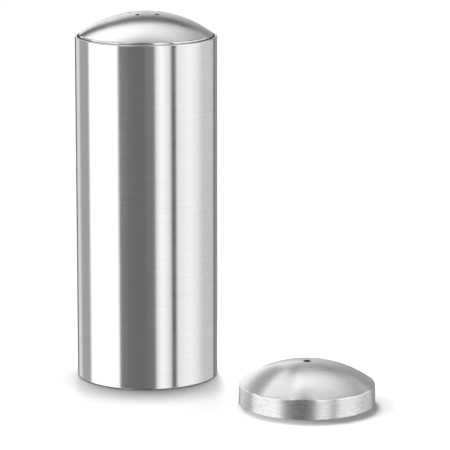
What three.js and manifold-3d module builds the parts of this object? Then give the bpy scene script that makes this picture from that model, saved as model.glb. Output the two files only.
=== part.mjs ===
// A tall round table salt shaker of satin stainless steel, in millimetres, +Z up.
//
// A straight steel sleeve stands on a soft foot pad and hides a plastic salt container with a
// threaded neck. A domed steel cap with five small holes is screwed down into the sleeve's mouth,
// and a second cap with one hole, which fits the same neck, lies upright on the table beside it.
// The origin is the middle of the foot pad's underside, where the shaker meets the table. The
// loose cap lies to the right and in front of the sleeve, towards +X and -Y.
import * as THREE from "three";
import { mergeVertices } from "three/addons/utils/BufferGeometryUtils.js";
import Module from "manifold-3d";

const wasm = await Module();
wasm.setup();

// Outer sleeve: a cut length of steel tube
const sleeve_diameter = 40;
const sleeve_length = 97.5;
const sleeve_wall = 0.8;
const sleeve_rim_rounding = 0.35;
const sleeve_bore_chamfer = 0.15;
const sleeve_foot_chamfer = 0.2;

// Base plate: a shallow pressed dish that closes the sleeve, with its rim turned down
const base_plate_thickness = 0.8;
const base_plate_recess = 0.9;
const base_plate_rim_recess = 0.2;
const base_plate_bend = 0.5;

// Foot pad: a soft disc glued inside the base plate's rim, standing a little proud of the sleeve
const foot_pad_proud = 0.3;
const foot_pad_edge_gap = 0.3;
const foot_pad_chamfer = 0.25;
const foot_pad_groove_depth = 0.4;
const foot_pad_groove_width = 1.2;
const foot_pad_groove_radii = [9, 14];

// Domed cap, the same shell for both: a skirt that enters the sleeve and a spherical crown
const cap_side_gap = 0.3;
const cap_wall = 0.7;
const cap_skirt_height = 5.4;
const cap_dome_height = 6.3;
const cap_edge_rounding = 0.5;
const cap_edge_above_rim = 0.45;

// Holes through the crowns
const shaker_hole_diameter = 1.1;
const shaker_hole_count = 5;
const shaker_hole_ring_radius = 4.75;
const shaker_hole_first_angle = 25;
const pouring_hole_diameter = 2.05;

// Thread ring: the plastic lining of a cap, with an inner flange that backs the gasket
const thread_ring_wall = 1.35;
const thread_ring_recess = 0.25;
const thread_ring_shell_gap = 0.1;
const thread_ring_crown_gap = 0.15;
const thread_ring_corner = 1;
const flange_thickness = 0.7;
const flange_width = 3.2;

// Gasket: a flat washer between the flange and the top of the neck
const gasket_thickness = 0.8;
const gasket_side_gap = 0.25;
const gasket_seat_gap = 0.05;

// Thread: a two-start ridge on the neck and a matching one in each thread ring
const thread_lead = 4;
const thread_starts = 2;
const thread_height = 0.9;
const thread_root_width = 1.1;
const thread_crest_width = 0.5;
const thread_crest_gap = 0.25;
const thread_end_gap = 0.15;
const thread_fade_angle = 24;

// Salt container: a straight beaker with a sloping shoulder and the threaded neck
const container_side_gap = 0.25;
const container_seat_gap = 0.05;
const container_wall = 1.4;
const container_floor = 1.5;
const container_foot_chamfer = 0.6;
const container_floor_chamfer = 1.5;
const container_shoulder_chamfer = 0.5;
const neck_wall = 1.4;
const shoulder_gap = 0.3;

// Loose cap: how far it lies from the sleeve, and in which direction
const loose_cap_clear_distance = 16.2;
const loose_cap_direction = -35.5;

// Pressed fits, cuts and joins
const press_gap = 0.05;
const overrun = 0.3;
const weld_distance = 0.0005;

// How finely round shapes are faceted, in counts
const round_facets = 48;
const crown_facets = 7;
const crown_lining_facets = 5;
const edge_facets = 3;
const hole_facets = 12;

const degrees = Math.PI / 180;
const full_turn = 360 * degrees;
const quarter_turn = 90 * degrees;

// Radii, from the sleeve inwards
const sleeve_radius = sleeve_diameter / 2;
const sleeve_bore_radius = sleeve_radius - sleeve_wall;
const cap_radius = sleeve_bore_radius - cap_side_gap;
const cap_bore_radius = cap_radius - cap_wall;
const thread_ring_radius = cap_bore_radius - thread_ring_shell_gap;
const thread_ring_bore_radius = thread_ring_radius - thread_ring_wall;
const neck_crest_radius = thread_ring_bore_radius - thread_crest_gap;
const neck_radius = neck_crest_radius - thread_height;
const neck_bore_radius = neck_radius - neck_wall;
const container_radius = sleeve_bore_radius - container_side_gap;
const container_bore_radius = container_radius - container_wall;

// Heights inside a cap, above the lower edge of its skirt
const cap_height = cap_skirt_height + cap_dome_height;
const crown_radius = (cap_radius ** 2 + cap_dome_height ** 2) / (2 * cap_dome_height);
const crown_centre = cap_height - crown_radius;
const flange_corner_radius = thread_ring_radius - thread_ring_corner;
const flange_top = lining_height(flange_corner_radius) - thread_ring_crown_gap;
const flange_bottom = flange_top - flange_thickness;
const gasket_top = flange_bottom - gasket_seat_gap;
const gasket_bottom = gasket_top - gasket_thickness;

// Heights in the whole shaker, above the table
const sleeve_foot = foot_pad_proud;
const sleeve_top = sleeve_foot + sleeve_length;
const base_plate_bottom = sleeve_foot + base_plate_recess;
const base_plate_top = base_plate_bottom + base_plate_thickness;
const container_bottom = base_plate_top + container_seat_gap;
const fitted_cap_height = sleeve_top + cap_edge_above_rim - cap_skirt_height;
const neck_top = fitted_cap_height + gasket_bottom - gasket_seat_gap;
const shoulder_top = fitted_cap_height - shoulder_gap;

// Thread runs, as heights of a ridge's middle above the lower edge of the fitted cap's skirt
const ridge_pitch = thread_lead / thread_starts;
const ridge_end_margin = thread_root_width / 2 + thread_end_gap;
const neck_ridge = {
  low: ridge_end_margin - shoulder_gap,
  high: neck_top - fitted_cap_height - ridge_end_margin,
};
const ring_ridge = {
  low: thread_ring_recess + ridge_end_margin,
  high: gasket_bottom - ridge_end_margin,
};

// The height of the crown's inner face at a distance from the cap's axis
function lining_height(radius) {
  return crown_centre + Math.sqrt((crown_radius - cap_wall) ** 2 - radius ** 2);
}

// Points along a circular arc of an outline, both ends included
function arc(centre_x, centre_y, radius, from, to, facets) {
  const points = [];
  for (let i = 0; i <= facets; i++) {
    const angle = from + ((to - from) * i) / facets;
    points.push([centre_x + radius * Math.cos(angle), centre_y + radius * Math.sin(angle)]);
  }
  return points;
}

// A closed solid from a geometry: its shared points are welded and its empty faces dropped
function solid_of(geometry) {
  const bare = new THREE.BufferGeometry();
  bare.setAttribute("position", geometry.getAttribute("position"));
  bare.setIndex(geometry.index);
  const welded = mergeVertices(bare, weld_distance);
  const corners = [];
  for (let i = 0; i < welded.index.count; i += 3) {
    const [a, b, c] = [0, 1, 2].map((corner) => welded.index.getX(i + corner));
    if (a !== b && b !== c && c !== a) corners.push(a, b, c);
  }
  const mesh = new wasm.Mesh({
    numProp: 3,
    vertProperties: new Float32Array(welded.attributes.position.array),
    triVerts: new Uint32Array(corners),
  });
  return new wasm.Manifold(mesh);
}

// The geometry of a finished solid
function geometry_of(solid) {
  const mesh = solid.getMesh();
  const geometry = new THREE.BufferGeometry();
  geometry.setAttribute("position", new THREE.BufferAttribute(mesh.vertProperties, 3));
  geometry.setIndex(new THREE.BufferAttribute(mesh.triVerts, 1));
  geometry.computeVertexNormals();
  return geometry;
}

// A solid turned about +Z from an outline of [radius, height] points, given anticlockwise. An
// outline that leaves the axis ends on it, and any other is closed on itself.
function turned(outline) {
  const on_axis = outline[0][0] === 0;
  const points = on_axis ? outline : [...outline, outline[0]];
  const profile = points.map(([radius, height]) => new THREE.Vector2(radius, height));
  return solid_of(new THREE.LatheGeometry(profile, round_facets).rotateX(quarter_turn));
}

// One helical ridge whose crest rises from the wall and sinks into it again at its ends. Its foot
// is buried in the wall. A crest outside the root stands on a neck, and one inside it in a ring.
function ridge(root_radius, crest_radius, run, height_at_zero, start_angle) {
  const outwards = Math.sign(crest_radius - root_radius);
  const full_height = Math.abs(crest_radius - root_radius);
  const buried_radius = root_radius - outwards * overrun;
  const flank_slope = (thread_root_width - thread_crest_width) / 2 / full_height;
  const half_width_at = (height) => thread_root_width / 2 - height * flank_slope;
  const first_angle = ((run.low - height_at_zero) / thread_lead) * full_turn;
  const last_angle = ((run.high - height_at_zero) / thread_lead) * full_turn;
  const steps = Math.ceil(((last_angle - first_angle) / full_turn) * round_facets);
  const fade = thread_fade_angle * degrees;
  const positions = [];
  for (let i = 0; i <= steps; i++) {
    const angle = first_angle + ((last_angle - first_angle) * i) / steps;
    const rise = Math.min(1, (angle - first_angle) / fade, (last_angle - angle) / fade);
    const crest_height = full_height * rise;
    const crest = root_radius + outwards * crest_height;
    const section = [
      [buried_radius, -half_width_at(-overrun)],
      [crest, -half_width_at(crest_height)],
      [crest, half_width_at(crest_height)],
      [buried_radius, half_width_at(-overrun)],
    ];
    const middle = height_at_zero + (angle / full_turn) * thread_lead;
    const turn = angle + start_angle;
    for (const [radius, offset] of section) {
      positions.push(radius * Math.cos(turn), radius * Math.sin(turn), middle + offset);
    }
  }
  const corner_count = 4;
  const last = steps * corner_count;
  const faces = [];
  for (let here = 0; here < last; here += corner_count) {
    const there = here + corner_count;
    for (let corner = 0; corner < corner_count; corner++) {
      const next = (corner + 1) % corner_count;
      faces.push(here + corner, here + next, there + next);
      faces.push(here + corner, there + next, there + corner);
    }
  }
  for (let corner = 1; corner < corner_count - 1; corner++) {
    faces.push(0, corner + 1, corner);
    faces.push(last, last + corner, last + corner + 1);
  }
  const geometry = new THREE.BufferGeometry();
  geometry.setAttribute("position", new THREE.Float32BufferAttribute(positions, 3));
  geometry.setIndex(outwards > 0 ? faces.reverse() : faces);
  return solid_of(geometry);
}

// A wall with its thread: one ridge for each start, spread evenly round the axis
function threaded(wall, root_radius, crest_radius, run, height_at_zero) {
  let solid = wall;
  for (let start = 0; start < thread_starts; start++) {
    const start_angle = (start * full_turn) / thread_starts;
    solid = solid.add(ridge(root_radius, crest_radius, run, height_at_zero, start_angle));
  }
  return solid;
}

function outer_sleeve() {
  const rounding_height = sleeve_top - sleeve_rim_rounding;
  const rounding_radius = sleeve_radius - sleeve_rim_rounding;
  return turned([
    [sleeve_bore_radius, sleeve_foot],
    [sleeve_radius - sleeve_foot_chamfer, sleeve_foot],
    [sleeve_radius, sleeve_foot + sleeve_foot_chamfer],
    ...arc(rounding_radius, rounding_height, sleeve_rim_rounding, 0, quarter_turn, edge_facets),
    [sleeve_bore_radius + sleeve_bore_chamfer, sleeve_top],
    [sleeve_bore_radius, sleeve_top - sleeve_bore_chamfer],
  ]);
}

function base_plate() {
  const radius = sleeve_bore_radius - press_gap;
  const rim_inner_radius = radius - base_plate_thickness;
  const rim_bottom = sleeve_foot + base_plate_rim_recess;
  return turned([
    [0, base_plate_bottom],
    [rim_inner_radius, base_plate_bottom],
    [rim_inner_radius, rim_bottom],
    [radius, rim_bottom],
    [radius, base_plate_top - base_plate_bend],
    [radius - base_plate_bend, base_plate_top],
    [0, base_plate_top],
  ]);
}

function foot_pad() {
  const radius = sleeve_bore_radius - press_gap - base_plate_thickness - foot_pad_edge_gap;
  const top = base_plate_bottom - press_gap;
  const groove = (middle) => [
    [middle - foot_pad_groove_width / 2, 0],
    [middle - foot_pad_groove_width / 2, foot_pad_groove_depth],
    [middle + foot_pad_groove_width / 2, foot_pad_groove_depth],
    [middle + foot_pad_groove_width / 2, 0],
  ];
  return turned([
    [0, 0],
    ...foot_pad_groove_radii.flatMap(groove),
    [radius - foot_pad_chamfer, 0],
    [radius, foot_pad_chamfer],
    [radius, top],
    [0, top],
  ]);
}

function salt_container() {
  const floor = container_bottom + container_floor;
  const shoulder_slope = container_bore_radius - neck_bore_radius;
  const shoulder_underside = shoulder_top - container_wall;
  const beaker = turned([
    [0, container_bottom],
    [container_radius - container_foot_chamfer, container_bottom],
    [container_radius, container_bottom + container_foot_chamfer],
    [container_radius, shoulder_top - container_shoulder_chamfer],
    [container_radius - container_shoulder_chamfer, shoulder_top],
    [neck_radius, shoulder_top],
    [neck_radius, neck_top],
    [neck_bore_radius, neck_top],
    [neck_bore_radius, shoulder_underside],
    [container_bore_radius, shoulder_underside - shoulder_slope],
    [container_bore_radius, floor + container_floor_chamfer],
    [container_bore_radius - container_floor_chamfer, floor],
    [0, floor],
  ]);
  const run = {
    low: fitted_cap_height + neck_ridge.low,
    high: fitted_cap_height + neck_ridge.high,
  };
  return threaded(beaker, neck_radius, neck_crest_radius, run, run.low);
}

// A cap's steel shell, standing on the lower edge of its skirt, with its holes drilled straight down
function cap_shell(holes) {
  const rounding_radius = cap_radius - cap_edge_rounding;
  const rounding_reach = crown_radius - cap_edge_rounding;
  const rounding_height = crown_centre + Math.sqrt(rounding_reach ** 2 - rounding_radius ** 2);
  const edge_angle = Math.atan2(rounding_height - crown_centre, rounding_radius);
  const lining_radius = crown_radius - cap_wall;
  const lining_angle = Math.atan2(lining_height(cap_bore_radius) - crown_centre, cap_bore_radius);
  const edge = arc(
    rounding_radius,
    rounding_height,
    cap_edge_rounding,
    0,
    edge_angle,
    edge_facets,
  );
  const crown = arc(0, crown_centre, crown_radius, edge_angle, quarter_turn, crown_facets);
  const lining = arc(
    0,
    crown_centre,
    lining_radius,
    quarter_turn,
    lining_angle,
    crown_lining_facets,
  );
  const outline = [
    [0, cap_height - cap_wall],
    ...lining.slice(1),
    [cap_bore_radius, 0],
    [cap_radius, 0],
    ...edge,
    ...crown.slice(1, -1),
    [0, cap_height],
  ];
  let shell = turned(outline);
  for (const { x, y, diameter } of holes) {
    const drill = new THREE.CylinderGeometry(
      diameter / 2,
      diameter / 2,
      cap_height + overrun,
      hole_facets,
    );
    drill.rotateX(quarter_turn).translate(x, y, cap_height / 2);
    shell = shell.subtract(solid_of(drill));
  }
  return shell;
}

// The plastic lining of a cap, whose upper corner follows the crown's inner face
function thread_ring() {
  const lining = turned([
    [thread_ring_bore_radius, thread_ring_recess],
    [thread_ring_radius, thread_ring_recess],
    [thread_ring_radius, lining_height(thread_ring_radius) - thread_ring_crown_gap],
    [flange_corner_radius, flange_top],
    [thread_ring_bore_radius - flange_width, flange_top],
    [thread_ring_bore_radius - flange_width, flange_bottom],
    [thread_ring_bore_radius, flange_bottom],
  ]);
  const height_at_zero = neck_ridge.low + ridge_pitch / 2;
  const crest_radius = thread_ring_bore_radius - thread_height;
  return threaded(lining, thread_ring_bore_radius, crest_radius, ring_ridge, height_at_zero);
}

function gasket() {
  const radius = thread_ring_bore_radius - gasket_side_gap;
  return turned([
    [neck_bore_radius, gasket_bottom],
    [radius, gasket_bottom],
    [radius, gasket_top],
    [neck_bore_radius, gasket_top],
  ]);
}

// Hole places, spread round the axis at one distance from it
function hole_ring(count, radius, first_angle, diameter) {
  return Array.from({ length: count }, (_, i) => {
    const angle = first_angle * degrees + (i * full_turn) / count;
    return { x: radius * Math.cos(angle), y: radius * Math.sin(angle), diameter };
  });
}

const steel = new THREE.MeshStandardMaterial({ color: 0xd2d2cf, roughness: 0.32, metalness: 1 });
const base_steel = new THREE.MeshStandardMaterial({ color: 0xbdbdba, roughness: 0.45, metalness: 1 });
const white_plastic = new THREE.MeshStandardMaterial({ color: 0xe6e6e0, roughness: 0.45, metalness: 0 });
const clear_silicone = new THREE.MeshStandardMaterial({ color: 0xc9cbc8, roughness: 0.6, metalness: 0 });
const dark_rubber = new THREE.MeshStandardMaterial({ color: 0x2a2a2b, roughness: 0.8, metalness: 0 });

function piece(name, solid, material) {
  const mesh = new THREE.Mesh(geometry_of(solid), material);
  mesh.name = name;
  return mesh;
}

// A whole cap: the steel shell with its holes, the thread ring and the gasket
function cap(name, holes) {
  const group = new THREE.Group();
  group.add(piece(`${name}_shell`, cap_shell(holes), steel));
  group.add(piece(`${name}_thread_ring`, thread_ring(), white_plastic));
  group.add(piece(`${name}_gasket`, gasket(), clear_silicone));
  return group;
}

const shaker_holes = hole_ring(
  shaker_hole_count,
  shaker_hole_ring_radius,
  shaker_hole_first_angle,
  shaker_hole_diameter,
);
const pouring_hole = { x: 0, y: 0, diameter: pouring_hole_diameter };

const salt_shaker = new THREE.Group();
salt_shaker.add(piece("outer_sleeve", outer_sleeve(), steel));
salt_shaker.add(piece("base_plate", base_plate(), base_steel));
salt_shaker.add(piece("foot_pad", foot_pad(), dark_rubber));
salt_shaker.add(piece("salt_container", salt_container(), white_plastic));

const fitted_cap = cap("five_hole_cap", shaker_holes);
fitted_cap.position.z = fitted_cap_height;
salt_shaker.add(fitted_cap);

const loose_cap = cap("one_hole_cap", [pouring_hole]);
const loose_cap_reach = sleeve_radius + loose_cap_clear_distance + cap_radius;
loose_cap.position.x = loose_cap_reach * Math.cos(loose_cap_direction * degrees);
loose_cap.position.y = loose_cap_reach * Math.sin(loose_cap_direction * degrees);
salt_shaker.add(loose_cap);

export default salt_shaker;
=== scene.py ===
# %% [markdown]
# A satin steel salt shaker, and how its looks are built in Blender.
#
# The real object is a straight steel sleeve with a domed, five-hole cap screwed down into its
# mouth. A second cap with one hole lies on the table. Ten pieces in all are already packed as a
# fixed frame of simple solids at their real size. This lesson keeps their places and sizes, and
# models each piece again with fine round surfaces, small edge roundings and real finishes.

import math

import bmesh
import bpy
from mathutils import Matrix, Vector

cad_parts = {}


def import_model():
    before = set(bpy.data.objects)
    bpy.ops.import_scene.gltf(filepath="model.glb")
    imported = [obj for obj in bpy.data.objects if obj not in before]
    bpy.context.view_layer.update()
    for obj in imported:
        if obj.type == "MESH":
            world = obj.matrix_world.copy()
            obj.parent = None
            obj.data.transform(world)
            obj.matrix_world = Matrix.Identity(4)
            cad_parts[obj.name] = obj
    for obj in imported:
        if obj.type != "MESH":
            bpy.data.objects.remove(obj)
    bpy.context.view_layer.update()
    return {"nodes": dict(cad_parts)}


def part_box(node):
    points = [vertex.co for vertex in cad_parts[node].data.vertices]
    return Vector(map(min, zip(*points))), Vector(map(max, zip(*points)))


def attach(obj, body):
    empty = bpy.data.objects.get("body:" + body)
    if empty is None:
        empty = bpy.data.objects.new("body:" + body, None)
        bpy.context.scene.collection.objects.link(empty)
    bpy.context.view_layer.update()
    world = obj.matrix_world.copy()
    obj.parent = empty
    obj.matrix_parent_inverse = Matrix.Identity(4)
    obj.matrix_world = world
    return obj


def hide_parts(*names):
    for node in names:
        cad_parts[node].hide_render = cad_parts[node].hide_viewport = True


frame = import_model()
mm = 0.001
print("nodes:", sorted(frame["nodes"]))

# %% [markdown]
# The solids already know where each piece is, so sizes that they hold are read from their boxes.
# Wall thicknesses and roundings are inside a box and can't be read from it, so those are written
# below with the piece that they belong to.

# %% Read the sizes of the frame
sleeve_low, sleeve_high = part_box("outer_sleeve")
fitted_low, fitted_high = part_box("five_hole_cap_shell")
loose_low, loose_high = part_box("one_hole_cap_shell")

sleeve_radius = sleeve_high.x
sleeve_foot = sleeve_low.z
sleeve_top = sleeve_high.z
cap_radius = fitted_high.x
cap_height = fitted_high.z - fitted_low.z
fitted_base = fitted_low.z
loose_centre = (loose_low + loose_high) / 2
to_loose_cap = Vector((loose_centre.x, loose_centre.y, loose_low.z - fitted_base))
print(f"sleeve radius {sleeve_radius / mm:.2f} mm, top {sleeve_top / mm:.2f} mm")
print(f"cap radius {cap_radius / mm:.2f} mm, height {cap_height / mm:.2f} mm")

# %% [markdown]
# The picture was taken from in front and a little above, with a long lens. A long lens far away
# keeps the sleeve's sides almost parallel. The camera looks at a point between the sleeve and the
# loose cap, so no lens shift is needed.

# %% Camera
aim = Vector((22.2 * mm, 0, 43.37 * mm))
camera_distance = 853.8 * mm
camera_pitch = math.radians(11.82)
focal_length = 240
camera_data = bpy.data.cameras.new("camera")
camera_data.lens = focal_length
camera = bpy.data.objects.new("camera", camera_data)
bpy.context.scene.collection.objects.link(camera)
camera.location = aim + camera_distance * Vector((0, -math.cos(camera_pitch), math.sin(camera_pitch)))
camera.rotation_euler = (math.radians(90) - camera_pitch, 0, 0)
bpy.context.scene.camera = camera
print("camera at", tuple(round(value / mm, 1) for value in camera.location), "mm")

# %% [markdown]
# Shader maths is easier to read as Python than as a long list of nodes. A small class wraps a
# socket and overloads + - * and /, so an expression on values adds its Math nodes by itself.
# Every other kind of node comes from one method, and short methods on top of it give what the
# finishes share: noise with grains of a real size, a bump, and the surface that ends a material.

# %% Shader expressions
class Value:
    """A number, colour or vector on a socket, which can be used in sums."""

    def __init__(self, shader, socket):
        self.shader = shader
        self.socket = socket

    def math(self, operation, *others):
        return self.shader.node("ShaderNodeMath", [self, *others], operation=operation)

    def __add__(self, other):
        return self.math("ADD", other)

    def __radd__(self, other):
        return self.math("ADD", other)

    def __sub__(self, other):
        return self.math("SUBTRACT", other)

    def __rsub__(self, other):
        return (self * -1) + other

    def __mul__(self, other):
        return self.math("MULTIPLY", other)

    def __rmul__(self, other):
        return self.math("MULTIPLY", other)

    def __truediv__(self, other):
        return self.math("DIVIDE", other)

    def step(self, low, high):
        """0 below low, 1 above high, and a smooth rise between them."""
        settings = {"interpolation_type": "SMOOTHSTEP"}
        return self.shader.node("ShaderNodeMapRange", [self, low, high], **settings)


class Shader:
    """The nodes of one material or of the world."""

    def __init__(self, tree):
        self.tree = tree
        tree.nodes.clear()

    def node(self, kind, values=(), output=0, stops=None, **settings):
        """Adds a node. Settings are set first, then its sockets, by order or by name."""
        made = self.tree.nodes.new(kind)
        for name, setting in settings.items():
            setattr(made, name, setting)
        if stops:
            ramp = made.color_ramp
            while len(ramp.elements) < len(stops):
                ramp.elements.new(1)
            for element, (position, colour) in zip(ramp.elements, stops):
                element.position = position
                element.color = colour
        named = values.items() if isinstance(values, dict) else enumerate(values)
        for socket, value in named:
            if isinstance(value, Value):
                self.tree.links.new(value.socket, made.inputs[socket])
            else:
                made.inputs[socket].default_value = value
        return Value(self, made.outputs[output] if len(made.outputs) else None)

    def vector(self, operation, *values, output=0):
        return self.node("ShaderNodeVectorMath", values, output, operation=operation)

    def parts(self, vector):
        return [self.node("ShaderNodeSeparateXYZ", [vector], axis) for axis in range(3)]

    def joined(self, x, y, z):
        return self.node("ShaderNodeCombineXYZ", [x, y, z])

    def mixed(self, share, low, high):
        """A colour between two colours."""
        sockets = {"Factor": share, 6: low, 7: high}
        return self.node("ShaderNodeMix", sockets, 2, data_type="RGBA")

    def noise(self, vector, detail=2.0):
        sockets = {"Vector": vector, "Scale": 1.0, "Detail": detail}
        return self.node("ShaderNodeTexNoise", sockets)

    def grains(self, place, size, detail=2.0):
        """Noise whose grains have this size."""
        return self.noise(self.vector("DIVIDE", place, (size, size, size)), detail)

    def bump(self, height, depth):
        """A normal that is raised and lowered by up to this depth."""
        return self.node("ShaderNodeBump", {"Height": height, "Distance": depth, "Strength": 1.0})

    def surface(self, sockets):
        """Ends a material in one Principled surface."""
        self.node("ShaderNodeOutputMaterial", [self.node("ShaderNodeBsdfPrincipled", sockets)])


def new_material(name):
    material = bpy.data.materials.new(name)
    material.use_nodes = True
    return material, Shader(material.node_tree)


def grey(level):
    return (level, level, level, 1)


print("shader helpers ready")

# %% [markdown]
# Satin steel is all reflection, so the light is designed as a photographer does it: a closed tent
# of white panels with dark gaps stands round the object, and the steel mirrors it as bands. The
# tent is a large sphere that only reflections can see. Each wall panel starts at a bearing round
# the shaker, in degrees, where 0 is towards the camera and + is to the right, and runs from one
# brightness to another. Above the walls hangs a ceiling sheet, which the crowns mirror.

# %% Light tent
tent_radius = 3.0
panel_softness = 2.0
ceiling_brightness = 1.45
ceiling_gap_brightness = 0.07
backdrop_brightness = 0.88
backdrop_fall = 0.65
dark_back_brightness = 0.1
high_left_brightness = 0.85
least_rise = 0.001
tent_panels = [
    (-180, 0.1, 0.1),
    (-155, 0.86, 0.86),
    (-136, 0.45, 0.45),
    (-105, 1.5, 1.5),
    (-45, 0.21, 0.21),
    (-32, 0.185, 0.185),
    (15.7, 0.95, 1.28),
    (26.5, 1.28, 0.92),
    (42, 0.05, 0.05),
    (50.5, 1.02, 1.21),
    (77, 1.21, 1.08),
    (90, 1.08, 0.74),
    (107, 0.73, 0.7),
    (141, 0.2, 0.2),
    (153, 0.4, 0.4),
    (166, 0.1, 0.1),
]


def panel_stops(panels):
    """Ramp stops that follow each panel's brightness and change over softly at its edges."""
    stops = []
    for i, (start, first, last) in enumerate(panels):
        end = panels[i + 1][0] if i + 1 < len(panels) else 180
        stops.append((start + panel_softness / 2, first))
        stops.append((end - panel_softness / 2, last))
    return [((bearing + 180) / 360, grey(brightness)) for bearing, brightness in stops]


def panel_light(shader, colour):
    """Light that only a mirror image shows, so that steel throws no glare on the floor."""
    bounced = shader.node("ShaderNodeLightPath", output="Diffuse Depth").math("MINIMUM", 1)
    return shader.node("ShaderNodeEmission", {"Color": colour, "Strength": 1 - bounced})


def stand_in_tent(panel, material):
    """Gives a panel its light, and hides it from everything but reflections."""
    material.cycles.emission_sampling = "NONE"
    panel.data.materials.append(material)
    panel.visible_camera = False
    panel.visible_diffuse = False
    panel.visible_transmission = False
    panel.visible_shadow = False


def light_tent():
    bpy.ops.object.select_all(action="DESELECT")
    bpy.ops.mesh.primitive_uv_sphere_add(segments=64, ring_count=32, radius=tent_radius)
    tent = bpy.context.object
    tent.name = "light_tent"
    material, shader = new_material("tent_panels")
    place = shader.node("ShaderNodeTexCoord", output="Object")
    x, y, z = shader.parts(shader.vector("NORMALIZE", place))
    bearing = x.math("ARCTAN2", y * -1) / math.tau + 0.5
    walls = shader.node("ShaderNodeValToRGB", [bearing], stops=panel_stops(tent_panels))

    # The ceiling is drawn on a flat plane overhead, where right and back run from straight up
    up = z.math("MAXIMUM", least_rise)
    right = x / up
    back = y / up
    far_edge = 1 - (back - right * 0.2 - right * right * 1.4).step(0.84, 0.94)
    near_edge = back.step(-0.05, 0.45)
    right_fade = 1 - right.step(-0.3, 1.0) * 0.8
    left_fade = 1 - (right * -1).step(0.6, 1.3) * 0.5
    sheet = far_edge * near_edge * right_fade * left_fade
    ceiling = sheet * ceiling_brightness + ceiling_gap_brightness
    overhead = z.step(0.36, 0.5) * back.step(-0.15, 0.1)

    # Above the horizon the wall behind the object is dark. A paler backdrop hangs in front of it,
    # brightest left of its middle, and the outlines of the crowns mirror that
    across = x / y.math("MAXIMUM", least_rise)
    dark_back = z.step(0, 0.08) * across.step(-0.5, -0.42) * y.step(0.55, 0.7)
    walls = shader.mixed(dark_back, walls, grey(dark_back_brightness))
    backdrop = across.step(-0.34, -0.24) * (backdrop_brightness - across.step(-0.2, 0.3) * backdrop_fall)
    backdrop = backdrop * z.step(-0.14, 0.08) * (1 - z.step(0.38, 0.6))

    # High up the left wall is dimmer, so that the crowns don't melt into the white background when
    # they are seen from the right
    high_left = z.step(0.08, 0.35) * (x * -1).step(0.2, 0.6) * (1 - y.step(0, 0.3))
    walls = shader.mixed(high_left, walls, grey(high_left_brightness))
    walls = shader.mixed(overhead, walls, shader.joined(ceiling, ceiling, ceiling))
    light = shader.vector("ADD", walls, shader.joined(backdrop, backdrop, backdrop))
    shader.node("ShaderNodeOutputMaterial", [panel_light(shader, light)])
    stand_in_tent(tent, material)


light_tent()
print("tent with", len(tent_panels), "wall panels")

# %% [markdown]
# The table is a plain white floor. A white world and one wide lamp, almost straight above and a
# little to the back, share the light, so that a colour renders about as it is written and the
# object throws a short, soft shadow in front of it. The world sends its light in from the sides,
# which darkens the floor close to the object. The floor is hidden from reflections, because the
# tent already gives the steel its surroundings.

# %% Floor, world and lamp
floor_radius = 8.0
side_light = 1.8
side_light_full = 0.3
side_light_end = 0.65
lamp_level = 0.68
lamp_softness = math.radians(11)
lamp_tilt = math.radians(5.2)
shadow_bearing = math.radians(5)


def floor():
    bpy.ops.object.select_all(action="DESELECT")
    bpy.ops.mesh.primitive_circle_add(vertices=96, radius=floor_radius, fill_type="NGON")
    disc = bpy.context.object
    disc.name = "floor"
    material, shader = new_material("white_floor")
    shader.surface({"Base Color": grey(1), "Roughness": 1.0, "Specular IOR Level": 0.0})
    disc.data.materials.append(material)
    disc.visible_glossy = False


def world():
    made = bpy.data.worlds.new("studio")
    bpy.context.scene.world = made
    made.use_nodes = True
    shader = Shader(made.node_tree)
    seen = shader.node("ShaderNodeLightPath", output="Is Camera Ray")
    for ray in ("Is Glossy Ray", "Is Transmission Ray"):
        seen = seen.math("MAXIMUM", shader.node("ShaderNodeLightPath", output=ray))
    height = shader.parts(shader.node("ShaderNodeTexCoord", output="Generated"))[2]
    sky = (1 - height.step(side_light_full, side_light_end)) * side_light
    level = seen + (1 - seen) * sky
    background = shader.node("ShaderNodeBackground", {"Color": grey(1), "Strength": level})
    shader.node("ShaderNodeOutputWorld", [background])


def lamp():
    data = bpy.data.lights.new("high_softbox", "SUN")
    data.angle = lamp_softness
    data.energy = lamp_level * math.pi
    made = bpy.data.objects.new("high_softbox", data)
    bpy.context.scene.collection.objects.link(made)
    made.rotation_euler = (lamp_tilt, 0, math.pi + shadow_bearing)
    made.visible_glossy = False


floor()
world()
lamp()
bpy.context.scene.view_settings.view_transform = "Standard"
print("floor, world and lamp are in place")

# %% [markdown]
# Brushed steel is steel that has been rubbed round and round with fine grit, so it carries
# thousands of thin lines. They blur reflections across the lines and leave them sharp along the
# lines, which is what the shader's anisotropy does. On top of it, noise stretched round the axis
# gives the lines that can be seen. All of it reads one coordinate that runs along the outline,
# from a cap's middle over its edge and down the wall, which is the radius less the height.

# %% Satin steel
# The grey of worn steel, also painted as a highlight along rims and round holes
worn_and_highlight_colour = (0.76, 0.76, 0.755, 1)
wide_line = 0.3 * mm
wide_line_length = 16 * mm
wide_line_share = 0.65
fine_line = 0.1 * mm
fine_line_length = 6 * mm
skirt_line = 0.16 * mm
skirt_line_length = 2 * mm
skirt_blend = 0.4 * mm
skirt_contrast = 2
# Painted shade that darkens a skirt's steel
skirt_painted_shade = 0.14
skirt_roughness = 0.16
line_contrast = 0.2
line_roughness = 0.12
cloud_width = 9 * mm
cloud_height = 14 * mm
cloud_roughness = 0.06
wear_patch = 1.5 * mm
worn_width = 0.7 * mm
worn_share = 0.8
worn_gloss = 0.06
bore_edge = (0.01 * mm, 0.06 * mm)
# The bore is painted this dark as the shade of the gap
bore_painted_shade = 0.06
bore_roughness = 0.3
burr_edge = (0.1 * mm, 0.25 * mm)
burr_gloss = 0.05
hole_edge = (0.03 * mm, 0.12 * mm)
# Hole walls are painted this dark as shade
hole_painted_shade = 0.04
hole_roughness = 0.4
steel_level = 0.71


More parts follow.
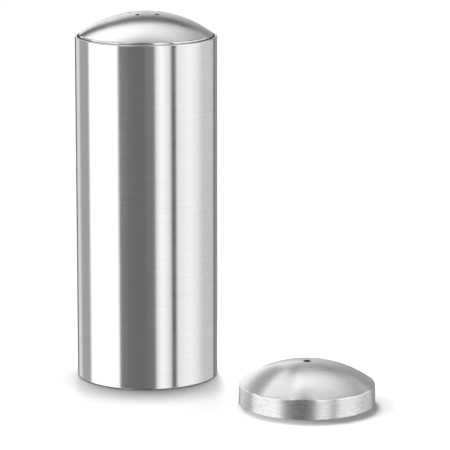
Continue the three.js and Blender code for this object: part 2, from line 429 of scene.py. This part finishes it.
def satin_steel(name, middle, edges, rough, grain, depth, level=steel_level, holes=(), bore=0, skirt=0):
    """Steel brushed round an upright axis through middle, worn at the heights of its edges,
    where the wear is painted in a light grey, partly as a highlight along the rims.

    It has a roughness, a strength and a depth of its grain, and a level of grey. Its holes are
    (x, y, diameter) from the middle: rougher inside and painted dark there as shade, with a smoother
    burr round them that is painted light as a highlight. Inside a bore of this radius the tube is
    duller, as it was drawn, and painted dark as shade. Below the height of a skirt the lines are
    coarser, and the steel is painted darker as shade.
    """
    material, shader = new_material(name)
    place = shader.node("ShaderNodeTexCoord", output="Object")
    place = shader.node("ShaderNodeMapping", {"Vector": place, "Location": (-middle.x, -middle.y, 0)})
    x, y, z = shader.parts(place)
    radius = (x * x + y * y).math("SQRT")
    outline = radius - z

    def lines(width, length):
        return shader.noise(shader.joined(x / length, y / length, outline / width), 3.0)

    wide = lines(wide_line, wide_line_length)
    fine = lines(fine_line, fine_line_length)
    brushing = wide * wide_line_share + fine * (1 - wide_line_share)
    coarse = 0
    if skirt:
        coarse = 1 - z.step(skirt - skirt_blend, skirt)
        brushing = brushing + (lines(skirt_line, skirt_line_length) - brushing) * coarse
    cloud = shader.noise(shader.joined(x / cloud_width, y / cloud_width, z / cloud_height))

    beside = 1.0
    for hole_x, hole_y, diameter in holes:
        off_x, off_y = x - hole_x, y - hole_y
        distance = (off_x * off_x + off_y * off_y).math("SQRT") - diameter / 2
        beside = distance.math("MINIMUM", beside)

    # Wear near the edges: its light grey is partly a painted highlight along the rims
    worn_and_highlight = shader.grains(place, wear_patch).step(0.35, 0.6)
    nearness = 0
    for edge in edges:
        nearness = (1 - (z - edge).math("ABSOLUTE").step(0, worn_width)) + nearness
    worn_and_highlight = worn_and_highlight * nearness * worn_share

    contrast = (coarse * skirt_contrast + 1) * (grain * line_contrast)
    # Below a skirt the grey is lowered by painted shade
    shade = (brushing - 0.5) * contrast + level - coarse * skirt_painted_shade
    colour = shader.joined(shade, shade, shade)
    colour = shader.mixed(worn_and_highlight, colour, worn_and_highlight_colour)
    roughness = (brushing - 0.5) * line_roughness + (cloud - 0.5) * cloud_roughness
    roughness = roughness + (coarse * skirt_roughness + rough) - worn_and_highlight * worn_gloss
    if bore:
        # Inside the bore the steel is duller, and painted dark as the shade of the gap
        edge_start, edge_end = bore_edge
        dull_and_shaded = 1 - radius.step(bore + edge_start, bore + edge_end)
        colour = shader.mixed(dull_and_shaded, colour, grey(bore_painted_shade))
        roughness = roughness + dull_and_shaded * bore_roughness
    if holes:
        # Round each hole a smoother burr with a painted highlight, and painted shade inside the hole
        burr_and_highlight = 1 - beside.step(*burr_edge)
        inside = 1 - beside.step(*hole_edge)
        colour = shader.mixed(inside, shader.mixed(burr_and_highlight, colour, worn_and_highlight_colour), grey(hole_painted_shade))
        roughness = roughness - burr_and_highlight * burr_gloss + inside * hole_roughness
    shader.surface({
        "Base Color": colour,
        "Metallic": 1.0,
        "Roughness": roughness,
        "Anisotropic": 0.95,
        "Anisotropic Rotation": 0.25,
        "Normal": shader.bump(brushing * (coarse + 1), depth),
    })
    return material


print("satin steel ready, with lines", wide_line / mm, "and", fine_line / mm, "mm wide")

# %% [markdown]
# The pieces are all turned shapes, so a few helpers serve them all. They select rings of edges or
# faces by where they lie from the axis, as one would pick them by eye, and finish a piece: smooth
# shading with weighted normals, its place kept in its mesh, and its ride on its body.

# %% Modelling helpers
round_segments = 192
near = 0.005 * mm
smooth_angle = math.radians(32)


def begin(name):
    """Takes the primitive that was just added, puts its place in its mesh and opens it."""
    piece = bpy.context.object
    piece.name = name
    piece.data.name = name
    bpy.ops.object.transform_apply(location=True, rotation=True, scale=True)
    bpy.ops.object.mode_set(mode="EDIT")
    bpy.ops.mesh.select_all(action="DESELECT")
    return piece


def pick(piece, kind, wanted):
    """Selects the corners, edges or faces whose every corner has a wanted radius, height and angle."""
    bpy.ops.mesh.select_all(action="DESELECT")
    bpy.ops.mesh.select_mode(type=kind)
    mesh = bmesh.from_edit_mesh(piece.data)
    kinds = {"VERT": mesh.verts, "EDGE": mesh.edges, "FACE": mesh.faces}
    for element in kinds[kind]:
        corners = [element.co] if kind == "VERT" else [corner.co for corner in element.verts]
        if all(wanted(math.hypot(x, y), z, math.atan2(y, x)) for x, y, z in corners):
            element.select_set(True)
    bmesh.update_edit_mesh(piece.data)


def pick_ring(piece, radius, height):
    """Selects the ring of edges at this radius and height."""
    pick(piece, "EDGE", lambda r, z, a: abs(r - radius) < near and abs(z - height) < near)


def pick_disc(piece, radius, height):
    """Selects the flat round face of this radius at this height."""
    pick(piece, "FACE", lambda r, z, a: abs(r - radius) < near and abs(z - height) < near)


def round_ring(piece, radius, height, size, segments=4):
    """Rounds the ring of edges at this radius and height."""
    pick_ring(piece, radius, height)
    bpy.ops.mesh.bevel(offset=size, segments=segments, affect="EDGES")


def lift(offset):
    """Moves what is selected straight up, or down."""
    bpy.ops.transform.translate(value=(0, 0, offset))


def cylinder(name, radius, low, high, fill="NGON"):
    """Adds an upright cylinder on the shaker's axis and opens it for modelling."""
    bpy.ops.object.select_all(action="DESELECT")
    bpy.ops.mesh.primitive_cylinder_add(
        vertices=round_segments,
        radius=radius,
        depth=high - low,
        end_fill_type=fill,
        location=(0, 0, (low + high) / 2),
    )
    return begin(name)


def apply_modifier(piece, kind, **settings):
    """Adds a modifier in object mode and applies it."""
    bpy.ops.object.mode_set(mode="OBJECT")
    modifier = piece.modifiers.new(kind.lower(), kind)
    for name, setting in settings.items():
        setattr(modifier, name, setting)
    bpy.ops.object.modifier_apply(modifier=modifier.name)


def thicken(piece, wall):
    """Gives an open skin its wall, inwards."""
    apply_modifier(piece, "SOLIDIFY", thickness=wall, offset=-1, use_even_offset=True)


def dress(piece, body, material, node):
    """Finishes a piece: shading, finish, and the body and node that it belongs to."""
    bpy.ops.object.shade_smooth_by_angle(angle=smooth_angle)
    apply_modifier(piece, "WEIGHTED_NORMAL", keep_sharp=True)
    piece.data.materials.clear()
    piece.data.materials.append(material)
    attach(piece, body)
    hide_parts(node)
    print(f"{piece.name}: {len(piece.data.polygons)} faces")


print("helpers ready")

# %% [markdown]
# The sleeve is a cut length of thin steel tube. Its mouth is lightly rounded on the outside and
# broken on the inside, which catches a thin bright line of light right round the dark gap beside
# the cap. An open cylinder gets its wall from Solidify, and the rims are bevelled after that. The
# wall is a little thinner than the frame's, so that the gap shows as wide as in the picture.

# %% Outer sleeve
sleeve_wall = 0.65 * mm
rim_rounding = 0.35 * mm
bore_chamfer = 0.2 * mm
foot_chamfer = 0.2 * mm
sleeve_bore_radius = sleeve_radius - sleeve_wall

axis = Vector((0, 0, 0))
sleeve_edges = [sleeve_foot, sleeve_top]
sleeve_steel = satin_steel(
    "sleeve_steel",
    axis,
    sleeve_edges,
    rough=0.19,
    grain=0.7,
    depth=0.012 * mm,
    bore=sleeve_bore_radius,
)
sleeve = cylinder("steel_sleeve", sleeve_radius, sleeve_foot, sleeve_top, "NOTHING")
thicken(sleeve, sleeve_wall)
bpy.ops.object.mode_set(mode="EDIT")
round_ring(sleeve, sleeve_radius, sleeve_top, rim_rounding, 6)
round_ring(sleeve, sleeve_bore_radius, sleeve_top, bore_chamfer, 3)
round_ring(sleeve, sleeve_radius, sleeve_foot, foot_chamfer, 3)
bpy.ops.object.mode_set(mode="OBJECT")
dress(sleeve, "shaker", sleeve_steel, "outer_sleeve")

# %% [markdown]
# A cap is pressed from sheet steel: a shallow spherical crown with a short straight skirt. The
# crown is the top of a large ball, so a ball is cut at the height where it is as wide as the cap,
# the cut edge is drawn down into the skirt, and the corner between them is rounded. Solidify gives
# the sheet's thickness, and the holes are drilled through with a Boolean.

# %% Cap shell
cap_skirt_height = 5.4 * mm
cap_wall = 0.7 * mm
cap_edge_rounding = 0.5 * mm
skirt_edge_rounding = 0.12 * mm
crown_rings = 180
hole_segments = 32
crown_height = cap_height - cap_skirt_height
crown_radius = (cap_radius**2 + crown_height**2) / (2 * crown_height)
crown_slope = math.asin(cap_radius / crown_radius)
corner_turn = math.pi / 2 - crown_slope


def drill(piece, holes, low, high):
    """Cuts upright round holes, given as (x, y, diameter), between two heights."""
    cutters = []
    for x, y, diameter in holes:
        bpy.ops.object.select_all(action="DESELECT")
        bpy.ops.mesh.primitive_cylinder_add(
            vertices=hole_segments,
            radius=diameter / 2,
            depth=high - low,
            location=(x, y, (low + high) / 2),
        )
        cutters.append(bpy.context.object)
    if len(cutters) > 1:
        for cutter in cutters:
            cutter.select_set(True)
        bpy.ops.object.join()
    cutter = bpy.context.object
    bpy.ops.object.select_all(action="DESELECT")
    piece.select_set(True)
    bpy.context.view_layer.objects.active = piece
    apply_modifier(piece, "BOOLEAN", operation="DIFFERENCE", object=cutter, solver="EXACT")
    bpy.data.objects.remove(cutter)


def cap_shell(name, holes):
    """A cap's steel shell on the shaker's axis, with its holes."""
    corner = fitted_base + cap_skirt_height
    bpy.ops.object.select_all(action="DESELECT")
    bpy.ops.mesh.primitive_uv_sphere_add(
        segments=round_segments,
        ring_count=crown_rings,
        radius=crown_radius,
        location=(0, 0, fitted_high.z - crown_radius),
    )
    shell = begin(name)
    bpy.ops.mesh.select_all(action="SELECT")
    bpy.ops.mesh.bisect(
        plane_co=(0, 0, corner),
        plane_no=(0, 0, 1),
        clear_inner=True,
        threshold=near,
    )
    pick_ring(shell, cap_radius, corner)
    bpy.ops.mesh.extrude_edges_move(TRANSFORM_OT_translate={"value": (0, 0, -cap_skirt_height)})
    round_ring(shell, cap_radius, corner, cap_edge_rounding * math.tan(corner_turn / 2), 6)
    thicken(shell, cap_wall)
    bpy.ops.object.mode_set(mode="EDIT")
    for radius in (cap_radius, cap_radius - cap_wall):
        round_ring(shell, radius, fitted_base, skirt_edge_rounding, 3)
    bpy.ops.object.mode_set(mode="OBJECT")
    drill(shell, holes, fitted_base, fitted_high.z + cap_wall)
    return shell


print(f"crown radius {crown_radius / mm:.2f} mm, edge slope {math.degrees(crown_slope):.1f} degrees")

# %% [markdown]
# The fitted cap sprinkles through five small holes on a ring. The loose one pours through a
# single larger hole in the middle. Both shells come from the same function, and the loose one is
# then moved to where it lies.

# %% Both cap shells
small_hole_count = 5
small_hole_diameter = 1.1 * mm
small_hole_ring = 4.75 * mm
small_hole_first = math.radians(25)
large_hole_diameter = 2.05 * mm


def move(piece, offset):
    """Moves a piece and keeps the new place in its mesh."""
    bpy.ops.object.select_all(action="DESELECT")
    piece.select_set(True)
    bpy.context.view_layer.objects.active = piece
    bpy.ops.transform.translate(value=offset)
    bpy.ops.object.transform_apply(location=True, rotation=True, scale=True)


small_holes = []
for i in range(small_hole_count):
    angle = small_hole_first + i * math.tau / small_hole_count
    small_holes.append((
        small_hole_ring * math.cos(angle),
        small_hole_ring * math.sin(angle),
        small_hole_diameter,
    ))

fitted_edge = fitted_base + cap_skirt_height
loose_edge = loose_low.z + cap_skirt_height
large_hole = [(0, 0, large_hole_diameter)]
fitted_steel = satin_steel(
    "fitted_cap_steel",
    axis,
    [fitted_edge],
    rough=0.15,
    grain=1.2,
    depth=0.012 * mm,
    holes=small_holes,
)
# The loose cap's steel is painted a lighter grey than the fitted cap's, standing in for brighter light
# on it
brightened_loose_steel = satin_steel(
    "loose_cap_steel",
    loose_centre,
    [loose_edge, loose_low.z],
    rough=0.22,
    grain=1.2,
    depth=0.018 * mm,
    level=0.86,
    holes=large_hole,
    skirt=loose_edge,
)

fitted_shell = cap_shell("five_hole_shell", small_holes)
dress(fitted_shell, "five_hole_cap", fitted_steel, "five_hole_cap_shell")
loose_shell = cap_shell("one_hole_shell", large_hole)
move(loose_shell, to_loose_cap)
dress(loose_shell, "one_hole_cap", brightened_loose_steel, "one_hole_cap_shell")

# %% [markdown]
# Under the sleeve sits a shallow dish of pressed steel, rim down, and a soft pad is glued into it.
# Pressed sheet isn't brushed afterwards: it is duller, with faint rings where it was drawn over
# the tool. The rubber is dull and finely grained.

# %% Dish and pad finishes
tool_ring_width = 0.6 * mm
dish_cloud = 4 * mm
rubber_grain = 0.25 * mm
rubber_cloud = 5 * mm


def pressed_steel():
    material, shader = new_material("dish_steel")
    place = shader.node("ShaderNodeTexCoord", output="Object")
    x, y, z = shader.parts(place)
    radius = (x * x + y * y).math("SQRT")
    rings = shader.noise(shader.joined(radius / tool_ring_width, z / tool_ring_width, 0))
    cloud = shader.grains(place, dish_cloud, 3.0)
    shader.surface({
        "Base Color": shader.mixed(cloud, grey(0.42), grey(0.58)),
        "Metallic": 1.0,
        "Roughness": cloud * 0.16 + rings * 0.1 + 0.26,
        "Normal": shader.bump(rings, 0.02 * mm),
    })
    return material


def foot_rubber():
    material, shader = new_material("pad_rubber")
    place = shader.node("ShaderNodeTexCoord", output="Object")
    grain = shader.grains(place, rubber_grain)
    cloud = shader.grains(place, rubber_cloud, 3.0)
    shader.surface({
        "Base Color": shader.mixed(cloud, grey(0.018), grey(0.032)),
        "Roughness": grain * 0.16 + cloud * 0.1 + 0.6,
        "Normal": shader.bump(grain, 0.03 * mm),
    })
    return material


dish_steel = pressed_steel()
pad_rubber = foot_rubber()
print("made", dish_steel.name, "and", pad_rubber.name)

# %% [markdown]
# The dish starts as a flat disc. Its edge is drawn down into a rim, the bend between them is
# rounded, and the sheet gets its thickness. The pad is a solid disc. Its underside is inset and
# pushed up, then inset again by a groove's width and pulled back down, once for each groove. The
# grooves give the soft foot its grip.

# %% Base dish and foot pad
dish_low, dish_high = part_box("base_plate")
dish_radius = dish_high.x
dish_sheet = 0.8 * mm
dish_bend = 0.5 * mm
dish_rim_rounding = 0.15 * mm

bpy.ops.object.select_all(action="DESELECT")
bpy.ops.mesh.primitive_circle_add(
    vertices=round_segments,
    radius=dish_radius,
    fill_type="NGON",
    location=(0, 0, dish_high.z),
)
dish = begin("pressed_dish")
pick_ring(dish, dish_radius, dish_high.z)
bpy.ops.mesh.extrude_edges_move(TRANSFORM_OT_translate={"value": (0, 0, dish_low.z - dish_high.z)})
round_ring(dish, dish_radius, dish_high.z, dish_bend, 5)
thicken(dish, dish_sheet)
bpy.ops.object.mode_set(mode="EDIT")
round_ring(dish, dish_radius, dish_low.z, dish_rim_rounding, 2)
bpy.ops.object.mode_set(mode="OBJECT")
dress(dish, "shaker", dish_steel, "base_plate")

pad_low, pad_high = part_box("foot_pad")
pad_radius = pad_high.x
pad_rounding = 0.25 * mm
groove_depth = 0.4 * mm
groove_width = 1.2 * mm
groove_rounding = 0.12 * mm
groove_radii = [14 * mm, 9 * mm]

pad = cylinder("ribbed_pad", pad_radius, pad_low.z, pad_high.z)
reached = pad_radius
for groove in groove_radii:
    outer, inner = groove + groove_width / 2, groove - groove_width / 2
    pick_disc(pad, reached, pad_low.z)
    bpy.ops.mesh.inset(thickness=reached - outer)
    bpy.ops.mesh.extrude_region_move(TRANSFORM_OT_translate={"value": (0, 0, groove_depth)})
    bpy.ops.mesh.inset(thickness=groove_width)
    bpy.ops.mesh.extrude_region_move(TRANSFORM_OT_translate={"value": (0, 0, -groove_depth)})
    for radius in (outer, inner):
        round_ring(pad, radius, pad_low.z, groove_rounding, 2)
    reached = inner - groove_rounding
for height in (pad_low.z, pad_high.z):
    round_ring(pad, pad_radius, height, pad_rounding, 3)
bpy.ops.object.mode_set(mode="OBJECT")
dress(pad, "shaker", pad_rubber, "foot_pad")

# %% [markdown]
# A cap is held by a thread with two starts: two ridges wind side by side, so half a turn of the
# cap does the work of a whole one. The same function makes the ridges of the neck and those of
# the linings. It shapes a small plane into the ridge's section, sweeps it along the helix with
# the Screw modifier, and lets the crest sink into the wall near both ends, as moulded threads do.

# %% Thread ridges
thread_lead = 4 * mm
thread_starts = 2
thread_height = 0.9 * mm
thread_root_width = 1.1 * mm
thread_crest_width = 0.5 * mm
thread_crest_rounding = 0.12 * mm
thread_step = math.radians(3)
thread_fade_steps = 8
ridge_root_depth = 0.3 * mm
near_angle = 0.01


def ridge(root_radius, inwards, low, high, first_angle):
    """One ridge from height low to height high, starting at an angle."""
    way = -1 if inwards else 1
    crest_radius = root_radius + way * thread_height
    root = root_radius - way * ridge_root_depth
    depth = thread_height + ridge_root_depth
    bpy.ops.object.select_all(action="DESELECT")
    bpy.ops.mesh.primitive_plane_add(
        size=depth,
        rotation=(math.radians(90), 0, 0),
        location=((crest_radius + root) / 2, 0, low),
    )
    made = begin("ridge")
    flank = (thread_root_width - thread_crest_width) / thread_height
    widths = {crest_radius: thread_crest_width, root: thread_root_width + flank * ridge_root_depth}
    for radius, width in widths.items():
        pick(made, "VERT", lambda r, z, a: abs(r - radius) < near)
        bpy.ops.transform.resize(value=(1, 1, width / depth), center_override=(radius, 0, low))
    pick(made, "VERT", lambda r, z, a: abs(r - crest_radius) < near)
    bpy.ops.mesh.bevel(offset=thread_crest_rounding, segments=2, affect="VERTICES")
    bpy.ops.mesh.select_all(action="SELECT")
    bpy.ops.mesh.delete(type="ONLY_FACE")

    turn = (high - low) / thread_lead * math.tau
    steps = round(turn / thread_step)
    apply_modifier(
        made,
        "SCREW",
        axis="Z",
        angle=turn,
        screw_offset=high - low,
        steps=steps,
        render_steps=steps,
        use_smooth_shade=False,
        use_merge_vertices=False,
    )
    bpy.ops.object.mode_set(mode="EDIT")
    bpy.ops.mesh.select_all(action="SELECT")
    bpy.ops.mesh.fill_holes(sides=0)
    for step in range(thread_fade_steps):
        rise = math.sin(step / thread_fade_steps * math.pi / 2)
        share = (root_radius + way * thread_height * rise) / crest_radius
        for at in (step, steps - step):
            angle = at * turn / steps

            def crest(r, z, a):
                apart = abs((a - angle + math.pi) % math.tau - math.pi)
                return way * (r - root_radius) > 0 and apart < near_angle

            pick(made, "VERT", crest)
            bpy.ops.transform.resize(value=(share, share, 1), center_override=(0, 0, 0))
    bpy.ops.mesh.select_all(action="SELECT")
    bpy.ops.mesh.normals_make_consistent(inside=False)
    bpy.ops.transform.rotate(value=first_angle, orient_axis="Z", center_override=(0, 0, 0))
    bpy.ops.object.mode_set(mode="OBJECT")
    return made


def add_thread(piece, root_radius, inwards, low, high, first_angle):
    """Unites a piece with its ridges, spread evenly round the axis."""
    for start in range(thread_starts):
        made = ridge(root_radius, inwards, low, high, first_angle + start * math.tau / thread_starts)
        bpy.ops.object.select_all(action="DESELECT")
        piece.select_set(True)
        bpy.context.view_layer.objects.active = piece
        apply_modifier(piece, "BOOLEAN", operation="UNION", object=made, solver="EXACT")
        bpy.data.objects.remove(made)


print("thread helpers ready")

# %% [markdown]
# The white plastic parts are moulded: an even, slightly waxy surface with a little orange peel.
# The gasket is soft clear silicone, which lets some light through.

# %% Plastic and silicone
orange_peel = 0.5 * mm
plastic_cloud = 7 * mm
silicone_haze = 1.2 * mm


def white_plastic():
    material, shader = new_material("moulded_plastic")
    place = shader.node("ShaderNodeTexCoord", output="Object")
    peel = shader.grains(place, orange_peel)
    cloud = shader.grains(place, plastic_cloud, 3.0)
    shader.surface({
        "Base Color": shader.mixed(cloud, (0.74, 0.74, 0.69, 1), (0.82, 0.82, 0.78, 1)),
        "Roughness": peel * 0.1 + cloud * 0.14 + 0.28,
        "Normal": shader.bump(peel, 0.012 * mm),
    })
    return material


def clear_silicone():
    material, shader = new_material("soft_silicone")
    place = shader.node("ShaderNodeTexCoord", output="Object")
    haze = shader.grains(place, silicone_haze, 3.0)
    shader.surface({
        "Base Color": shader.mixed(haze, (0.54, 0.56, 0.54, 1), (0.66, 0.68, 0.66, 1)),
        "Roughness": haze * 0.2 + 0.3,
        "IOR": 1.41,
        "Transmission Weight": 0.4,
        "Normal": shader.bump(haze, 0.02 * mm),
    })
    return material


moulded = white_plastic()
soft_clear = clear_silicone()
print("made", moulded.name, "and", soft_clear.name)

# %% [markdown]
# The salt container is a moulded beaker. Its top face is inset and drawn up into the neck, the
# neck is opened, and the skin gets its wall. The inner corner of the shoulder is then lowered into
# a slope, so that salt doesn't stay behind when the shaker is turned over.

# %% Salt container
beaker_low, beaker_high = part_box("salt_container")
beaker_radius = beaker_high.x
beaker_wall = 1.4 * mm
shoulder_gap = 0.3 * mm
shoulder_height = fitted_base - shoulder_gap
neck_top = beaker_high.z
neck_radius = 15.6 * mm
neck_thread = (0.4 * mm, 3.367 * mm)
beaker_foot_rounding = 0.6 * mm
beaker_inner_rounding = 1.5 * mm
shoulder_rounding = 0.5 * mm
lip_rounding = 0.2 * mm

beaker = cylinder("salt_beaker", beaker_radius, beaker_low.z, shoulder_height)
pick_disc(beaker, beaker_radius, shoulder_height)
bpy.ops.mesh.inset(thickness=beaker_radius - neck_radius)
pick_disc(beaker, neck_radius, shoulder_height)
bpy.ops.mesh.extrude_region_move(TRANSFORM_OT_translate={"value": (0, 0, neck_top - shoulder_height)})
bpy.ops.mesh.delete(type="FACE")
thicken(beaker, beaker_wall)
bpy.ops.object.mode_set(mode="EDIT")
pick_ring(beaker, beaker_radius - beaker_wall, shoulder_height - beaker_wall)
lift(neck_radius - beaker_radius)
round_ring(beaker, beaker_radius, beaker_low.z, beaker_foot_rounding)
round_ring(beaker, beaker_radius - beaker_wall, beaker_low.z + beaker_wall, beaker_inner_rounding)
round_ring(beaker, beaker_radius, shoulder_height, shoulder_rounding)
round_ring(beaker, neck_radius, neck_top, lip_rounding, 3)
round_ring(beaker, neck_radius - beaker_wall, neck_top, lip_rounding, 3)
bpy.ops.object.mode_set(mode="OBJECT")
low, high = (fitted_base + height for height in neck_thread)
add_thread(beaker, neck_radius, False, low, high, 0)
dress(beaker, "shaker", moulded, "salt_container")

# %% [markdown]
# Each cap is lined by a moulded ring with the matching thread. Its flange backs the gasket, which
# is a flat washer. Both start as solid discs: the faces are inset to the bore and bridged through.

# %% Linings and gaskets
lining_low, lining_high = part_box("five_hole_cap_thread_ring")
lining_radius = lining_high.x
lining_wall = 1.35 * mm
lining_bore = lining_radius - lining_wall
lining_corner = 1.0 * mm
lining_corner_drop = 0.697 * mm
lining_edge_rounding = 0.15 * mm
flange_thickness = 0.7 * mm
flange_width = 3.2 * mm
flange_bore = lining_bore - flange_width
lining_thread = (0.95 * mm, 3.417 * mm)
lining_first_angle = math.radians(-40.5)

gasket_low, gasket_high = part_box("five_hole_cap_gasket")
gasket_radius = gasket_high.x
gasket_bore = 14.2 * mm
gasket_edge_rounding = 0.15 * mm


def bridge_discs(piece, radius, low, high):
    """Turns the flat round faces at two heights into the two mouths of a bore."""

    def mouth(r, z, a):
        at_height = abs(z - low) < near or abs(z - high) < near
        return abs(r - radius) < near and at_height

    pick(piece, "FACE", mouth)
    bpy.ops.mesh.bridge_edge_loops()


def lining(name):
    """A cap's thread ring, on the shaker's axis."""
    made = cylinder(name, lining_radius, lining_low.z, lining_high.z)
    flange_low = lining_high.z - flange_thickness
    pick_disc(made, lining_radius, lining_high.z)
    bpy.ops.mesh.inset(thickness=lining_corner)
    pick_ring(made, lining_radius, lining_high.z)
    lift(-lining_corner_drop)
    pick_disc(made, lining_radius - lining_corner, lining_high.z)
    bpy.ops.mesh.inset(thickness=lining_radius - lining_corner - flange_bore)
    pick_disc(made, lining_radius, lining_low.z)
    bpy.ops.mesh.inset(thickness=lining_wall)
    pick_disc(made, lining_bore, lining_low.z)
    bpy.ops.mesh.extrude_region_move(TRANSFORM_OT_translate={"value": (0, 0, flange_low - lining_low.z)})
    bpy.ops.mesh.inset(thickness=lining_bore - flange_bore)
    bridge_discs(made, flange_bore, flange_low, lining_high.z)
    for radius in (lining_radius, lining_bore):
        round_ring(made, radius, lining_low.z, lining_edge_rounding, 2)
    bpy.ops.object.mode_set(mode="OBJECT")
    low, high = (fitted_base + height for height in lining_thread)
    add_thread(made, lining_bore, True, low, high, lining_first_angle)
    return made


def gasket(name):
    """A cap's washer, on the shaker's axis."""
    made = cylinder(name, gasket_radius, gasket_low.z, gasket_high.z)
    for height in (gasket_low.z, gasket_high.z):
        pick_disc(made, gasket_radius, height)
        bpy.ops.mesh.inset(thickness=gasket_radius - gasket_bore)
    bridge_discs(made, gasket_bore, gasket_low.z, gasket_high.z)
    for radius in (gasket_radius, gasket_bore):
        for height in (gasket_low.z, gasket_high.z):
            round_ring(made, radius, height, gasket_edge_rounding, 3)
    bpy.ops.object.mode_set(mode="OBJECT")
    return made


caps = [
    ("five_hole", "five_hole_cap_seal", Vector((0, 0, 0))),
    ("one_hole", "one_hole_cap", to_loose_cap),
]
for title, gasket_body, offset in caps:
    cap = f"{title}_cap"
    ring = lining(f"{title}_lining")
    move(ring, offset)
    dress(ring, cap, moulded, f"{cap}_thread_ring")
    washer = gasket(f"{title}_washer")
    move(washer, offset)
    dress(washer, gasket_body, soft_clear, f"{cap}_gasket")

# %% [markdown]
# In the picture the sleeve doesn't mirror the loose cap, nor the cap the sleeve, as if the two
# had been lit one by one. The same is done here. The loose cap is left out of what reflections
# see, and a white card stands between the two, as a photographer would set one. A grey stripe
# across it keeps the crown from looking flat. The card shows in reflections only, and only from
# the loose cap's side.
#
# The floor round the loose cap has its own light too. A black flag above it, of which nothing
# shows but the shadow, keeps the high lamp off. A lower lamp from behind lights that patch
# instead, and throws the cap's longer, softer shadow to the front.

# %% Light the loose cap by itself
card_width = 46 * mm
card_gap = 2 * mm
card_brightness = 1.0
stripe_brightness = 0.4
stripe_height = 30 * mm
stripe_core = 3 * mm
stripe_reach = 20 * mm
flag_radius = 23 * mm
flag_height = 80 * mm
low_lamp_shift = Vector((6 * mm, -4 * mm, 0))
low_lamp_aim = Vector((loose_centre.x, loose_centre.y, 0)) + low_lamp_shift
low_lamp_level = 0.9
low_lamp_bearing = math.radians(10)
low_lamp_distance = 300 * mm
low_lamp_elevation = math.radians(42)
low_lamp_radius = 55 * mm
low_lamp_reach = 62 * mm
low_lamp_blend = 0.8


def white_card():
    to_cap = Vector((loose_centre.x, loose_centre.y, 0))
    foot = to_cap.normalized() * (sleeve_radius + card_gap)
    bpy.ops.object.select_all(action="DESELECT")
    bpy.ops.mesh.primitive_plane_add(
        size=1,
        location=foot + Vector((0, 0, fitted_high.z / 2)),
        rotation=(math.radians(90), 0, math.atan2(to_cap.y, to_cap.x) + math.radians(90)),
    )
    card = bpy.context.object
    card.name = "white_card"
    card.scale = (card_width, fitted_high.z, 1)
    material, shader = new_material("card_light")
    behind = shader.node("ShaderNodeNewGeometry", output="Backfacing")
    height = shader.parts(shader.node("ShaderNodeNewGeometry", output="Position"))[2]
    plain = (height - stripe_height).math("ABSOLUTE").step(stripe_core, stripe_reach)
    light = panel_light(shader, shader.mixed(plain, grey(stripe_brightness), grey(card_brightness)))
    clear = shader.node("ShaderNodeBsdfTransparent")
    shader.node("ShaderNodeOutputMaterial", [shader.node("ShaderNodeMixShader", [behind, light, clear])])
    stand_in_tent(card, material)


def black_flag():
    """Keeps most of the high lamp off the floor round the loose cap."""
    drift = Vector((-math.sin(shadow_bearing), math.cos(shadow_bearing), 0)) * math.tan(lamp_tilt)
    bpy.ops.object.select_all(action="DESELECT")
    bpy.ops.mesh.primitive_circle_add(
        vertices=64,
        radius=flag_radius,
        fill_type="NGON",
        location=low_lamp_aim + drift * flag_height + Vector((0, 0, flag_height)),
    )
    flag = bpy.context.object
    flag.name = "black_flag"
    material, shader = new_material("black_cloth")
    shader.surface({"Base Color": grey(0.02), "Roughness": 1.0})
    flag.data.materials.append(material)
    flag.visible_camera = False
    flag.visible_diffuse = False
    flag.visible_glossy = False
    flag.visible_transmission = False


def low_lamp():
    """A spot from behind, as strong on the floor at its aim as its level says."""
    way = Vector((-math.sin(low_lamp_bearing), math.cos(low_lamp_bearing), math.tan(low_lamp_elevation)))
    place = low_lamp_aim + way.normalized() * low_lamp_distance
    data = bpy.data.lights.new("low_spot", "SPOT")
    data.energy = low_lamp_level * 4 * (math.pi * low_lamp_distance) ** 2 / math.sin(low_lamp_elevation)
    data.shadow_soft_size = low_lamp_radius
    data.spot_size = 2 * math.atan(low_lamp_reach / low_lamp_distance)
    data.spot_blend = low_lamp_blend
    made = bpy.data.objects.new("low_spot", data)
    bpy.context.scene.collection.objects.link(made)
    made.location = place
    made.rotation_euler = (low_lamp_aim - place).to_track_quat("-Z", "Y").to_euler()
    made.visible_glossy = False


white_card()
black_flag()
low_lamp()
# The loop's last ring and washer are those of the loose cap
loose_pieces = [loose_shell, ring, washer]
for piece in loose_pieces:
    piece.visible_glossy = False
print("left out of reflections:", [piece.name for piece in loose_pieces])
